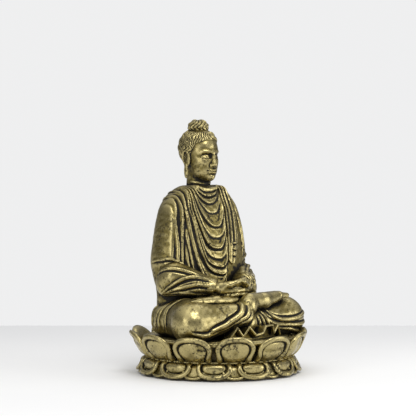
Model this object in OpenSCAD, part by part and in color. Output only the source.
// Seated figure in a draped robe on a double lotus pedestal, cast in sections and pinned together.
// The figure faces -Y, +Z is up, and the origin is the centre of the underside.

/* [Pedestal] */
// Number of petals in each of the two rows
petal_count = 12; // [10:1:13]
// Radius of the drum that carries the lower row of petals
drum_r = 40; // [36:0.5:48]
// Height of the drum's top face above the ground
drum_h = 9.5; // [8.5:0.25:13]
// Wall thickness of the drum and of the bowl
pedestal_wall = 3; // [2.5:0.25:4]
// Thickness of the web across the drum's top
web_t = 2; // [1.5:0.25:3]
// Thickness of the ring between the two rows of petals
ring_t = 1.5; // [1:0.25:3]
// How far the ring stands out past the drum
ring_proud = 3.3; // [2:0.1:5]
// Height of the bowl, from the ring to the seat plate
bowl_h = 8.5; // [7.5:0.5:14]
// How far the bowl flares outwards over its height
bowl_flare = 4.5; // [3:0.25:6]
// Thickness of the round plate that the figure sits on
seat_t = 2.5; // [2:0.25:4]
// How far the seat plate stands out past the bowl's rim
seat_proud = 0.8; // [0:0.1:1.2]

/* [Petals] */
// Thickness of an upper petal
upper_petal_t = 2.6; // [2:0.1:3.2]
// Height of an upper petal's tip above the seat's top face
upper_tip_rise = 3; // [1:0.25:5]
// How far the upper tips stand out past the ring between the rows
upper_tip_out = 10.3; // [8:0.1:14]
// Thickness of a lower petal
lower_petal_t = 2.2; // [1.6:0.1:2.6]
// How far the lower tips stand out past that ring
lower_tip_out = 6.3; // [5:0.1:9]
// Depth that a petal's tongue goes into its groove
tongue_depth = 1.5; // [1:0.1:1.8]
// Height of a petal's tongue
tongue_h = 1.8; // [1.2:0.1:2.2]
// Gap left between neighbouring petals, on each side
petal_gap = 0.45; // [0.2:0.05:1.2]

/* [Underside] */
// Thickness of the felt pad, which is what the statue stands on
felt_t = 1; // [0.8:0.1:2]
// Thickness of the closing plate
plate_t = 1.5; // [1.2:0.1:2.5]
// Height of the metal rim above the ground
rim_lift = 0.5; // [0.3:0.1:0.7]
// Number of screws in the closing plate
screw_count = 4; // [3:1:6]
// Distance of the closing plate's screws from its edge
screw_inset = 7; // [5:0.5:10]
// Radius of a screw's thread
screw_r = 1.2; // [1:0.1:1.6]
// Length of a screw below its head
screw_len = 4; // [3:0.25:4.5]

/* [Tie rod] */
// Radius of the threaded rod that clamps the figure to the pedestal
rod_r = 2; // [1.5:0.25:2.5]
// Distance of the rod behind the pedestal's centre
rod_y = 19; // [12:0.5:22]
// Width across flats of the rod's nut
nut_flats = 7; // [6:0.5:8]
// Height of the rod's nut
nut_h = 3.2; // [2.4:0.1:3.4]
// Radius of the rod's washer
washer_r = 4.5; // [4:0.25:6]
// Thickness of the rod's washer
washer_t = 0.8; // [0.5:0.1:1.2]

/* [Figure] */
// Wall thickness of the hollow castings
cast_wall = 3; // [2.5:0.25:4]
// Height of the crossed legs, from the seat to the lap
legs_h = 20; // [17:0.5:24]
// Half width of the hips
hip_half_w = 39.5; // [36:0.5:40]
// How far each knee stands out past the hips
knee_out = 15; // [11:0.5:16]
// Height of the torso, from the lap to the collar
torso_h = 70; // [58:0.5:84]
// Half width over the elbows
elbow_half_w = 34; // [31:0.5:36]
// Half width over the shoulders
shoulder_half_w = 27; // [24:0.5:30]
// Distance from the centre plane to the joint between torso and sleeve
arm_joint_x = 17; // [15:0.5:19]
// Radius of the neck
neck_r = 7; // [6:0.25:9]
// Height of the neck that shows between the collar and the jaw
neck_h = 1.5; // [1:0.25:4]
// Height of the head, from the chin to the crown
head_h = 31; // [26:0.5:38]
// Half width of the head
head_half_w = 11; // [9:0.25:13]
// Height of the topknot
topknot_h = 6.5; // [5:0.25:9]
// Radius of the topknot
topknot_r = 6.2; // [5:0.2:7.5]

/* [Hands and feet] */
// Distance in front of the pedestal's centre where sleeves end and hands begin
cuff_y = 9; // [8:0.25:10]
// Thickness of a foot lying on the lap
foot_t = 4.2; // [3:0.1:4.5]
// Length of a foot
foot_len = 34; // [28:0.5:38]
// Length of a hand
hand_len = 15; // [12:0.5:17]

/* [Fits] */
// Radial clearance of a pin, screw or rod in its hole
pin_clear = 0.05; // [0.02:0.01:0.1]
// Radius of the dowels that join the castings
dowel_r = 1.2; // [1:0.1:1.5]
// Gap between a petal's tongue and its groove, and between plates and their recesses
seat_clear = 0.1; // [0.05:0.05:0.3]
// Radius of the tenons under the head and the topknot
tenon_r = 4; // [3:0.25:4.5]
// Length of those tenons
tenon_len = 8; // [5:0.5:9]

/* [Hidden] */
$fn = 64;
ring_top = drum_h + ring_t;
ring_r = drum_r + ring_proud;
upper_tip_r = ring_r + upper_tip_out;
lower_tip_r = ring_r + lower_tip_out;
bowl_top = ring_top + bowl_h;
bowl_rim_r = drum_r + bowl_flare;
seat_z = bowl_top + seat_t;
seat_r = bowl_rim_r + seat_proud;
plate_top = felt_t + plate_t;
web_z = drum_h - web_t;
plate_r = drum_r - pedestal_wall + 1.2;
felt_r = plate_r - 1;
screw_ring_r = plate_r - screw_inset;
boss_r = 3.4;
head_depth_screw = 1.2;
head_r_screw = screw_r * 2.2;
lap_z = seat_z + legs_h;
collar_z = lap_z + torso_h;
chin_z = collar_z + neck_h;
crown_z = chin_z + head_h;
knot_z = crown_z - 1;
body_y = 19;
head_y = 17;
legs_y = 2;
hip_front = 32;
hip_back = 38;
knee_angle = 33;
knee_spread = 24;
foot_flange_r = lower_tip_r - 4.4;
cavity_top = collar_z - 15;
bar_w = 9;
bar_t = 4;
bar_half = arm_joint_x - cast_wall + 1.2;
sash_w = 8.5;
sash_t = 1.4;
bar_z = lap_z + 5;
rod_end_z = bar_z + bar_t - 0.5;
rod_low_z = web_z - washer_t - nut_h - 0.2;
hand_z = lap_z + foot_t + 0.3;
seat_pin_x = 22;
seat_pin_y = 8;
seat_pin_len = 6;
petal_pitch = 360 / petal_count;
groove_r = drum_r - tongue_depth;
lower_tongue_z = drum_h - 0.5 - tongue_h;
upper_tongue_z = ring_top + 0.4;

FIXED_NODES = [
  "felt_pad", "base_plate", "base_screws", "pedestal_drum", "waist_ring", "lotus_bowl", "seat_disc",
  "seat_pins", "lower_body", "torso", "cross_bar", "tie_rod", "rod_washer", "rod_nut", "right_sleeve",
  "left_sleeve", "shoulder_dowels", "right_hand", "left_hand", "wrist_dowels", "right_foot", "left_foot",
  "foot_pins", "hem_fan", "shoulder_sash", "head", "neck_pin", "topknot"
];

// Colours of the finishes
BRASS = "#8f8254";
DARK_BRASS = "#5d5335";
STEEL = "silver";
FELT = "#2b2f2b";

// ---------- helpers ----------

// A point on a cubic curve with four control points
function curve(p, t) =
  pow(1 - t, 3) * p[0] + 3 * pow(1 - t, 2) * t * p[1] + 3 * (1 - t) * t * t * p[2] + t * t * t * p[3];

// The curve's direction, turned a quarter turn to the left and of unit length
function across(p, t) =
  let (
    e = 0.01,
    d = curve(p, min(1, t + e)) - curve(p, max(0, t - e))
  )
  [-d[1], d[0]] / norm(d);

// A strip of even thickness along a curve, as a closed outline
function strip(p, thick, steps) = concat(
  [for (k = [0:steps]) curve(p, k / steps) + across(p, k / steps) * thick / 2],
  [for (k = [steps:-1:0]) curve(p, k / steps) - across(p, k / steps) * thick / 2]
);

// A signed power, which shapes the squarish ovals below
function bend(v, e) = sign(v) * pow(abs(v), e);

// One ring of an oval whose front and back depths differ: half width, front, back, centre, height
function oval(a, front, back, yc, z, n = 48, squareness = 2.3) = [
  for (i = [0:n - 1])
    let (
      t = 360 * i / n,
      b = sin(t) < 0 ? front : back
    )
    [a * bend(cos(t), 2 / squareness), yc + b * bend(sin(t), 2 / squareness), z]
];

// The middle point of a ring
function middle(ring) = [for (k = [0:2]) ([for (p = ring) p[k]] * [for (p = ring) 1]) / len(ring)];

// Side triangles between rings laid bottom to top, starting at a point number
function walls(rings, first) =
  let (n = len(rings[0]))
  [
    for (j = [0:len(rings) - 2], i = [0:n - 1])
      let (
        a = first + j * n + i,
        b = first + j * n + (i + 1) % n
      )
      each [[a, a + n, b + n], [a, b + n, b]]
  ];

// Triangles from a centre point to a ring; facing is 1 for a face that looks up
function fan(n, ring_first, centre, facing) = [
  for (i = [0:n - 1])
    let (j = (i + 1) % n)
    facing > 0 ? [centre, ring_first + j, ring_first + i] : [centre, ring_first + i, ring_first + j]
];

// A closed solid through rings of points, laid bottom to top
module loft(rings) {
  n = len(rings[0]);
  m = len(rings);
  polyhedron(
    concat([for (r = rings) each r], [middle(rings[0]), middle(rings[m - 1])]),
    concat(walls(rings, 0), fan(n, 0, n * m, -1), fan(n, (m - 1) * n, n * m + 1, 1))
  );
}

// A hollow casting that is open underneath: an outer skin, an inner skin and the rim that joins them
module casting(outer, inner) {
  n = len(outer[0]);
  mo = len(outer);
  mi = len(inner);
  first = n * mo;
  last = first + n * mi;
  flip = [for (f = walls(inner, first)) [f[0], f[2], f[1]]];
  rim = [
    for (i = [0:n - 1])
      let (j = (i + 1) % n)
      each [[i, j, first + j], [i, first + j, first + i]]
  ];
  polyhedron(
    concat(
      [for (r = outer) each r],
      [for (r = inner) each r],
      [middle(outer[mo - 1]), middle(inner[mi - 1])]
    ),
    concat(
      walls(outer, 0), flip, rim,
      fan(n, (mo - 1) * n, last, 1),
      fan(n, first + (mi - 1) * n, last + 1, -1)
    )
  );
}

// A cylinder between two heights at a place
module post(x, y, z0, z1, r) {
  translate([x, y, z0]) cylinder(h = z1 - z0, r = r);
}

// The space in front of the plane y = -distance
module in_front_of(distance) {
  translate([-100, -distance - 100, -10]) cube([200, 100, 300]);
}

// The space above a height
module above(z) {
  translate([-100, -100, z]) cube([200, 200, 300]);
}

// The same shape at every screw's place
module at_screws() {
  for (i = [0:screw_count - 1]) rotate([0, 0, 45 + 360 * i / screw_count]) translate([screw_ring_r, 0, 0]) children();
}

// ---------- pedestal ----------

module felt_pad() {
  color(FELT) cylinder(h = felt_t, r = felt_r);
}

module base_plate() {
  color(BRASS) difference() {
    post(0, 0, felt_t, plate_top, plate_r);
    at_screws() {
      post(0, 0, felt_t - 1, plate_top + 1, screw_r + pin_clear);
      translate([0, 0, felt_t - 0.01])
        cylinder(h = head_depth_screw + 0.01, r1 = head_r_screw + pin_clear, r2 = screw_r + pin_clear);
    }
  }
}

module base_screws() {
  color(STEEL) at_screws() {
    difference() {
      translate([0, 0, felt_t]) cylinder(h = head_depth_screw, r1 = head_r_screw, r2 = screw_r);
      translate([-head_r_screw, -0.3, felt_t - 0.1]) cube([2 * head_r_screw, 0.6, 0.6]);
    }
    post(0, 0, felt_t + head_depth_screw, felt_t + screw_len, screw_r);
  }
}

module pedestal_drum() {
  inner = drum_r - pedestal_wall;
  color(DARK_BRASS) difference() {
    union() {
      difference() {
        rotate_extrude() polygon([
          [0, rim_lift], [foot_flange_r, rim_lift], [foot_flange_r, rim_lift + 0.9], [drum_r, rim_lift + 4.5],
          [drum_r, drum_h], [0, drum_h]
        ]);
        post(0, 0, -1, web_z, inner);
        post(0, 0, -1, plate_top, plate_r + seat_clear);
      }
      at_screws() post(0, 0, plate_top, web_z + 0.5, boss_r);
    }
    at_screws() post(0, 0, -1, felt_t + screw_len + 0.3, screw_r + pin_clear);
    post(0, rod_y, web_z - 1, drum_h + 1, rod_r + pin_clear * 5);
    difference() {
      post(0, 0, lower_tongue_z - seat_clear, lower_tongue_z + tongue_h + seat_clear, drum_r + 1);
      post(0, 0, 0, drum_h, groove_r - seat_clear);
    }
  }
}

module waist_ring() {
  inner = drum_r - pedestal_wall;
  mid = drum_h + ring_t / 2;
  color(BRASS) difference() {
    rotate_extrude() polygon(concat(
      [[inner, drum_h]],
      [for (a = [-90:15:90]) [ring_r - ring_t / 2 + ring_t / 2 * cos(a), mid + ring_t / 2 * sin(a)]],
      [[inner, ring_top]]
    ));
  }
}

module lotus_bowl() {
  color(DARK_BRASS) difference() {
    rotate_extrude() polygon([
      [drum_r - pedestal_wall, ring_top], [drum_r, ring_top], [drum_r + bowl_flare * 0.35, ring_top + bowl_h * 0.5],
      [bowl_rim_r, bowl_top], [bowl_rim_r - pedestal_wall, bowl_top],
      [drum_r - pedestal_wall + bowl_flare * 0.35, ring_top + bowl_h * 0.5]
    ]);
    difference() {
      post(0, 0, upper_tongue_z - seat_clear, upper_tongue_z + tongue_h + seat_clear, bowl_rim_r);
      post(0, 0, 0, bowl_top, groove_r - seat_clear);
    }
  }
}

// The plate under the figure, with two turned ridges round its lowered edge
module seat_disc() {
  ridge = 0.8;
  edge_z = seat_z - 1.2;
  color(BRASS) difference() {
    union() {
      post(0, 0, bowl_top, edge_z, seat_r);
      post(0, 0, bowl_top, seat_z, seat_r - 4.2 * ridge);
      for (k = [1, 3]) rotate_extrude() translate([seat_r - k * ridge, edge_z]) circle(r = ridge);
    }
    post(0, rod_y, bowl_top - 1, seat_z + 1, rod_r + pin_clear * 5);
    for (s = [-1, 1]) post(s * seat_pin_x, seat_pin_y, bowl_top - 1, seat_z + 1, dowel_r + pin_clear);
  }
}

module seat_pins() {
  color(STEEL) for (s = [-1, 1]) post(s * seat_pin_x, seat_pin_y, bowl_top, bowl_top + seat_pin_len, dowel_r);
}

// A petal that faces -Y: a curved strip turned about the pedestal's axis and trimmed to an arch
module petal(line, thick, arch, tongue_z) {
  sweep_angle = petal_pitch * 0.955;
  tongue_angle = petal_pitch * 0.4;
  intersection() {
    rotate([0, 0, -90 - sweep_angle / 2]) rotate_extrude(angle = sweep_angle) polygon(strip(line, thick, 8));
    translate([0, -drum_r + 5, 0]) rotate([90, 0, 0]) linear_extrude(drum_r) polygon(arch);
  }
  rotate([0, 0, -90 - tongue_angle / 2]) rotate_extrude(angle = tongue_angle)
    translate([groove_r, tongue_z]) square([line[0][0] + 0.8 - groove_r, tongue_h]);
}

// Half width that a petal may have at a radius, so that it stays clear of its neighbours
function petal_room(r) = r * sin(petal_pitch / 2) - petal_gap;

module upper_petal(i) {
  tip_z = seat_z + upper_tip_rise;
  root = [ring_r - 1.3, ring_top + upper_petal_t / 2 + seat_clear];
  line = [root, root + [8.5, 0.2], [seat_r + 3.4, seat_z - 0.5], [upper_tip_r - 0.7, tip_z - 0.9]];
  half = petal_room(seat_r + 2.8);
  shoulder_z = seat_z - 5;
  arch = concat(
    [[-half * 0.83, ring_top], [half * 0.83, ring_top]],
    [for (a = [0:10:180]) [half * cos(a), shoulder_z + (tip_z + 0.4 - shoulder_z) * sin(a)]]
  );
  color(BRASS) rotate([0, 0, (i - 1) * petal_pitch]) petal(line, upper_petal_t, arch, upper_tongue_z);
}

module lower_petal(i) {
  low = rim_lift + 0.1;
  root = [ring_r - 1.3, drum_h - lower_petal_t / 2 - seat_clear];
  line = [root, root + [6, 0.2], [lower_tip_r - 3.2, low + 2.6], [lower_tip_r - 0.4, low + lower_petal_t / 2]];
  half = petal_room(ring_r + 1);
  shoulder_z = drum_h - 3.5;
  arch = concat(
    [[half * 0.86, drum_h], [-half * 0.86, drum_h]],
    [for (a = [180:10:360]) [half * cos(a), shoulder_z + (shoulder_z - low + 0.2) * sin(a)]]
  );
  color(BRASS) rotate([0, 0, (i - 0.5) * petal_pitch]) petal(line, lower_petal_t, arch, lower_tongue_z);
}

// ---------- lower half of the figure ----------

// Outline of the crossed legs at a share of their height, with a lobe for each knee; inset moves it inwards
function legs_ring(z, u, inset) = [
  for (i = [0:59])
    let (
      t = 6 * i,
      depth = t > 180 ? hip_front : hip_back,
      hips = hip_half_w * depth / norm([depth * cos(t), hip_half_w * sin(t)]) * (0.9 + 0.42 * u - 0.44 * u * u),
      knees = knee_out * sqrt(1 - pow((u - 0.45) / 0.62, 2)),
      lobe = exp(-pow((t > 180 ? t - 360 + knee_angle : 90) / knee_spread, 2))
        + exp(-pow((t > 90 ? t - 180 - knee_angle : 90) / knee_spread, 2)),
      r = hips + knees * lobe - inset
    )
    [r * cos(t), legs_y + r * sin(t), z]
];

// The rings of the legs from the seat up to a height, moved inwards by an inset
function legs_rings(top, inset) = [
  for (k = [0:8]) legs_ring(seat_z + top * k / 8, k / 8, inset)
];

module lower_body() {
  color(BRASS) difference() {
    union() {
      casting(legs_rings(legs_h, 0), legs_rings(legs_h - cast_wall, cast_wall));
      for (s = [-1, 1]) post(s * seat_pin_x, seat_pin_y, seat_z, lap_z - cast_wall / 2, dowel_r + 2);
    }
    for (s = [-1, 1]) post(s * seat_pin_x, seat_pin_y, seat_z - 1, bowl_top + seat_pin_len + 0.3, dowel_r + pin_clear);
    post(0, rod_y, lap_z - 2 * cast_wall, lap_z + 1, rod_r + pin_clear * 5);
    at_foot_pins() post(0, 0, lap_z - cast_wall - 1, lap_z + 1, dowel_r + pin_clear);
  }
}

// Centre of a heel on the lap; side is 1 for the foot whose toes point to the figure's left
function heel(side) = [side * 2, -cuff_y - 0.6 - foot_t * (side > 0 ? 3.1 : 1)];

module at_foot_pins() {
  for (side = [-1, 1]) translate([heel(side)[0] + side * foot_len * 0.4, heel(side)[1], 0]) children();
}

// A bare foot lying on the lap with its heel near the centre
module foot(side) {
  h = heel(side);
  toe_r = foot_t * 0.95;
  color(BRASS) difference() {
    intersection() {
      hull() {
        translate([h[0], h[1], lap_z]) sphere(r = foot_t, $fn = 32);
        translate([h[0] + side * (foot_len - foot_t - toe_r), h[1] + (side > 0 ? 2 : 0), lap_z]) sphere(r = toe_r, $fn = 32);
      }
      above(lap_z);
    }
    at_foot_pins() post(0, 0, lap_z - 1, lap_z + 2.5, dowel_r + pin_clear);
  }
}

module right_foot() {
  foot(1);
}

module left_foot() {
  foot(-1);
}

module foot_pins() {
  color(STEEL) at_foot_pins() post(0, 0, lap_z - cast_wall, lap_z + 2.3, dowel_r);
}

// Zigzag outline between a back line and a pleated front
function pleats(count, pitch, deep, back) = concat(
  [for (k = [0:2 * count]) [(k - count) * pitch / 2, k % 2 == 0 ? 0 : -deep]],
  [[count * pitch / 2, back], [-count * pitch / 2, back]]
);

// The robe's hem in front of the shins: upright pleats against them and a zigzag edge lying on the seat
module hem_fan() {
  count = 5;
  color(BRASS) difference() {
    union() {
      translate([4, -hip_front - 1.2, seat_z]) linear_extrude(legs_h * 0.62) pleats_outline(3, 3.4, 1.6, 6);
      translate([0, -hip_front - 3.6, seat_z]) linear_extrude(1.3) pleats_outline(count, 5.4, 3.4, 8);
    }
    loft(legs_rings(legs_h, -seat_clear));
  }
}

module pleats_outline(count, pitch, deep, back) {
  polygon(pleats(count, pitch, deep, back));
}

// ---------- upper half of the figure ----------

// Robe outline over the torso's height: share of the height, half width, front depth, back depth
robe = [
  [0, elbow_half_w, 18, 15.5], [0.2, elbow_half_w, 18, 16], [0.34, elbow_half_w - 0.7, 18.5, 15.5],
  [0.48, elbow_half_w - 1.5, 19, 15], [0.61, (elbow_half_w + shoulder_half_w) / 2 + 0.5, 19, 14.5],
  [0.75, shoulder_half_w + 1.5, 18, 14], [0.82, shoulder_half_w, 16.5, 13.5], [0.885, shoulder_half_w - 3.3, 14.5, 13],
  [0.92, shoulder_half_w - 6, 13, 12], [0.95, shoulder_half_w - 9, 12.5, 11], [0.985, neck_r + 5, neck_r + 4, neck_r + 2.5],
  [1, neck_r + 2, neck_r + 2.5, neck_r + 1]
];

// A value of that outline at a share of the height
function robe_at(u, column) = lookup(u, [for (row = robe) [row[0], row[column]]]);

// A ring of the robe between its joints with the sleeves
function torso_ring(u, limit, inset, z) = [
  for (p = oval(robe_at(u, 1) - inset, robe_at(u, 2) - inset, robe_at(u, 3) - inset, body_y, z))
    [max(-limit, min(limit, p[0])), p[1], p[2]]
];

// The robe's whole skin round the upper body, from one inset to another
module robe_skin(inset_out, inset_in) {
  function rings(inset) = [
    for (u = [0.1:0.025:0.9]) torso_ring(u, 2 * elbow_half_w, inset, lap_z + torso_h * u)
  ];
  casting(rings(inset_out), rings(inset_in));
}

module torso_block() {
  hollow = (cavity_top - lap_z) / torso_h;
  steps = 24;
  casting(
    [for (k = [0:steps]) torso_ring(k / steps, arm_joint_x, 0, lap_z + torso_h * k / steps)],
    [for (k = [0:steps]) torso_ring(hollow * k / steps, arm_joint_x - cast_wall, cast_wall, lap_z + torso_h * hollow * k / steps)]
  );
}

// The block of space over the left breast that the sash hangs in
module sash_space(extra) {
  translate([arm_joint_x - sash_w, body_y - 40, lap_z + torso_h * 0.24])
    cube([sash_w + extra, 40 - 4, torso_h * 0.55]);
}

module torso() {
  color(BRASS) difference() {
    torso_block();
    intersection() {
      robe_skin(-1, sash_t);
      sash_space(1);
    }
    post(0, head_y, collar_z - tenon_len - 0.3, collar_z + 1, tenon_r + pin_clear);
    translate([0, head_y, collar_z - tenon_len / 2]) rotate([-90, 0, 0]) cylinder(h = 30, r = dowel_r + pin_clear);
    at_shoulder_dowels(arm_joint_x - cast_wall - 0.5, arm_joint_x + 1, pin_clear);
    bar_space();
  }
}

module shoulder_sash() {
  color(BRASS) intersection() {
    robe_skin(0, sash_t);
    sash_space(0);
  }
}

// Dowels that run sideways through each torso joint, at two heights
module at_shoulder_dowels(x0, x1, extra) {
  for (side = [-1, 1], u = [0.3, 0.72])
    translate([side * x0, body_y, lap_z + torso_h * u]) rotate([0, side * 90, 0]) cylinder(h = x1 - x0, r = dowel_r + extra);
}

module shoulder_dowels() {
  color(STEEL) at_shoulder_dowels(arm_joint_x - cast_wall, arm_joint_x + 3, 0);
}

// A ring of the robe outside the joint with the torso, for the right arm
function sleeve_ring(u) =
  let (
    a = robe_at(u, 1),
    squareness = 2.3,
    open = acos(min(0.999, pow(arm_joint_x / a, squareness / 2))),
    n = 24
  )
  [
    for (i = [0:n])
      let (
        t = 180 - open + 2 * open * i / n,
        b = sin(t) < 0 ? robe_at(u, 2) : robe_at(u, 3)
      )
      [a * bend(cos(t), 2 / squareness), body_y + b * bend(sin(t), 2 / squareness), lap_z + torso_h * u]
  ];

// The right arm in its sleeve, with its forearm brought round in front of the belly
module sleeve() {
  steps = 16;
  top = 0.93;
  chest_y = body_y - 18.5 - seat_clear;
  difference() {
    union() {
      loft([for (k = [0:steps]) sleeve_ring(top * k / steps)]);
      difference() {
        hull() {
          translate([-elbow_half_w + 10, 6, lap_z + 9]) sphere(r = 7.5, $fn = 32);
          translate([-12, -5.5, lap_z + 8]) sphere(r = 5.5, $fn = 32);
        }
        in_front_of(cuff_y);
        translate([-arm_joint_x, chest_y, lap_z]) cube([60, 60, 60]);
        translate([-60, -60, lap_z - 20]) cube([120, 120, 20]);
      }
    }
    at_shoulder_dowels(arm_joint_x - 1, arm_joint_x + 3.3, pin_clear);
    at_wrist_dowels(0.2, pin_clear);
  }
}

module right_sleeve() {
  color(BRASS) sleeve();
}

module left_sleeve() {
  color(BRASS) mirror([1, 0, 0]) sleeve();
}

// Dowels that run forwards from each sleeve into its hand
module at_wrist_dowels(extra_len, extra_r) {
  for (side = [-1, 1])
    translate([side * 11, -cuff_y + 3 + extra_len, hand_z + 3.4])
      rotate([90, 0, 0]) cylinder(h = 5.5 + 2 * extra_len, r = dowel_r + extra_r);
}

module wrist_dowels() {
  color(STEEL) at_wrist_dowels(0, 0);
}

// The right hand, lying palm up in front of its cuff, with its thumb raised towards the other
module hand() {
  tip_y = -cuff_y - hand_len + 3.2;
  color(BRASS) difference() {
    intersection() {
      union() {
        hull() {
          translate([-11.5, -cuff_y, hand_z + 3.4]) sphere(r = 4.2, $fn = 32);
          translate([-3.4, tip_y, hand_z + 2.4]) sphere(r = 3.2, $fn = 32);
        }
        hull() {
          translate([-11.5, -cuff_y - 1.5, hand_z + 5]) sphere(r = 2.4, $fn = 24);
          translate([-2, tip_y + 2, hand_z + 7.4]) sphere(r = 1.6, $fn = 24);
        }
      }
      above(hand_z);
      in_front_of(cuff_y);
      translate([-60, -100, 0]) cube([59.8, 200, 200]);
    }
    at_wrist_dowels(0.2, pin_clear);
  }
}

module right_hand() {
  hand();
}

module left_hand() {
  mirror([1, 0, 0]) hand();
}

// ---------- clamping ----------

// The pockets in the torso's walls that the ends of the bar rest in
module bar_space() {
  half = bar_half + seat_clear;
  wide = bar_w / 2 + seat_clear;
  translate([-half, rod_y - wide, bar_z]) cube([2 * half, 2 * wide, bar_t + seat_clear]);
}

// The tapped bar across the torso's cavity, which the rod pulls down
module cross_bar() {
  color(STEEL) difference() {
    translate([-bar_half, rod_y - bar_w / 2, bar_z]) cube([2 * bar_half, bar_w, bar_t]);
    post(0, rod_y, bar_z - 1, bar_z + bar_t + 1, rod_r + pin_clear);
  }
}

module tie_rod() {
  color(STEEL) post(0, rod_y, rod_low_z, rod_end_z, rod_r);
}

module rod_washer() {
  color(STEEL) difference() {
    post(0, rod_y, web_z - washer_t, web_z, washer_r);
    post(0, rod_y, web_z - washer_t - 1, web_z + 1, rod_r + pin_clear * 4);
  }
}

module rod_nut() {
  nut_top = web_z - washer_t;
  color(STEEL) difference() {
    translate([0, rod_y, nut_top - nut_h]) cylinder(h = nut_h, r = nut_flats / sqrt(3), $fn = 6);
    post(0, rod_y, nut_top - nut_h - 1, nut_top + 1, rod_r + pin_clear);
  }
}

// ---------- head ----------

// Egg-shaped outline of the head: share of the height, half width, front depth, back depth
skull = [
  [0, 4.5, 8.5, 4], [0.06, 7, 11, 7], [0.2, head_half_w - 1.8, 12.5, 9.5], [0.4, head_half_w - 0.8, 12.5, 11.5],
  [0.6, head_half_w - 0.4, 12.3, 13], [0.78, head_half_w - 0.8, 11.5, 12.5], [0.9, head_half_w - 2.8, 9, 10],
  [1, 6, 6.5, 6.5]
];

function skull_at(u, column) = lookup(u, [for (row = skull) [row[0], row[column]]]);

module head() {
  steps = 16;
  ear_z = chin_z + head_h * 0.42;
  color(BRASS) difference() {
    union() {
      loft([
        for (k = [0:steps])
          let (u = k / steps)
          oval(skull_at(u, 1), skull_at(u, 2), skull_at(u, 3), head_y, chin_z + head_h * u, 36, 2)
      ]);
      post(0, head_y, collar_z, chin_z + head_h * 0.4, neck_r);
      post(0, head_y, collar_z - tenon_len, collar_z + 0.5, tenon_r);
      hull() {
        translate([0, head_y - 12.2, chin_z + head_h * 0.55]) sphere(r = 1, $fn = 24);
        translate([0, head_y - 13, chin_z + head_h * 0.33]) sphere(r = 1.5, $fn = 24);
      }
      for (s = [-1, 1]) hull() {
        translate([s * (head_half_w - 1.4), head_y + 1, ear_z + 3]) sphere(r = 2.2, $fn = 24);
        translate([s * (head_half_w - 2), head_y + 1, ear_z - 8]) sphere(r = 1.8, $fn = 24);
      }
    }
    above(knot_z);
    post(0, head_y, knot_z - tenon_len / 2 - 0.3, knot_z + 1, tenon_r * 0.6 + pin_clear);
    translate([0, head_y + 1, collar_z - tenon_len / 2]) rotate([-90, 0, 0]) cylinder(h = 10, r = dowel_r + pin_clear);
  }
}

module neck_pin() {
  color(STEEL) translate([0, head_y + 1, collar_z - tenon_len / 2]) rotate([-90, 0, 0]) cylinder(h = 9.5, r = dowel_r);
}

// The topknot, a dome on a short tenon
module topknot() {
  rise = topknot_h;
  color(BRASS) {
    translate([0, head_y, knot_z]) rotate_extrude() polygon(concat(
      [[0, 0]],
      [for (a = [-20:10:90]) [topknot_r * cos(a), rise * (0.28 + 0.72 * sin(a))]]
    ));
    post(0, head_y, knot_z - tenon_len / 2, knot_z + 0.5, tenon_r * 0.6);
  }
}

// ---------- one name at a time, or all ----------

felt_pad();
base_plate();
base_screws();
pedestal_drum();
waist_ring();
lotus_bowl();
seat_disc();
seat_pins();
lower_body();
torso();
cross_bar();
tie_rod();
rod_washer();
rod_nut();
right_sleeve();
left_sleeve();
shoulder_dowels();
right_hand();
left_hand();
wrist_dowels();
right_foot();
left_foot();
foot_pins();
hem_fan();
shoulder_sash();
head();
neck_pin();
topknot();
for (i = [1:petal_count]) upper_petal(i);
for (i = [1:petal_count]) lower_petal(i);
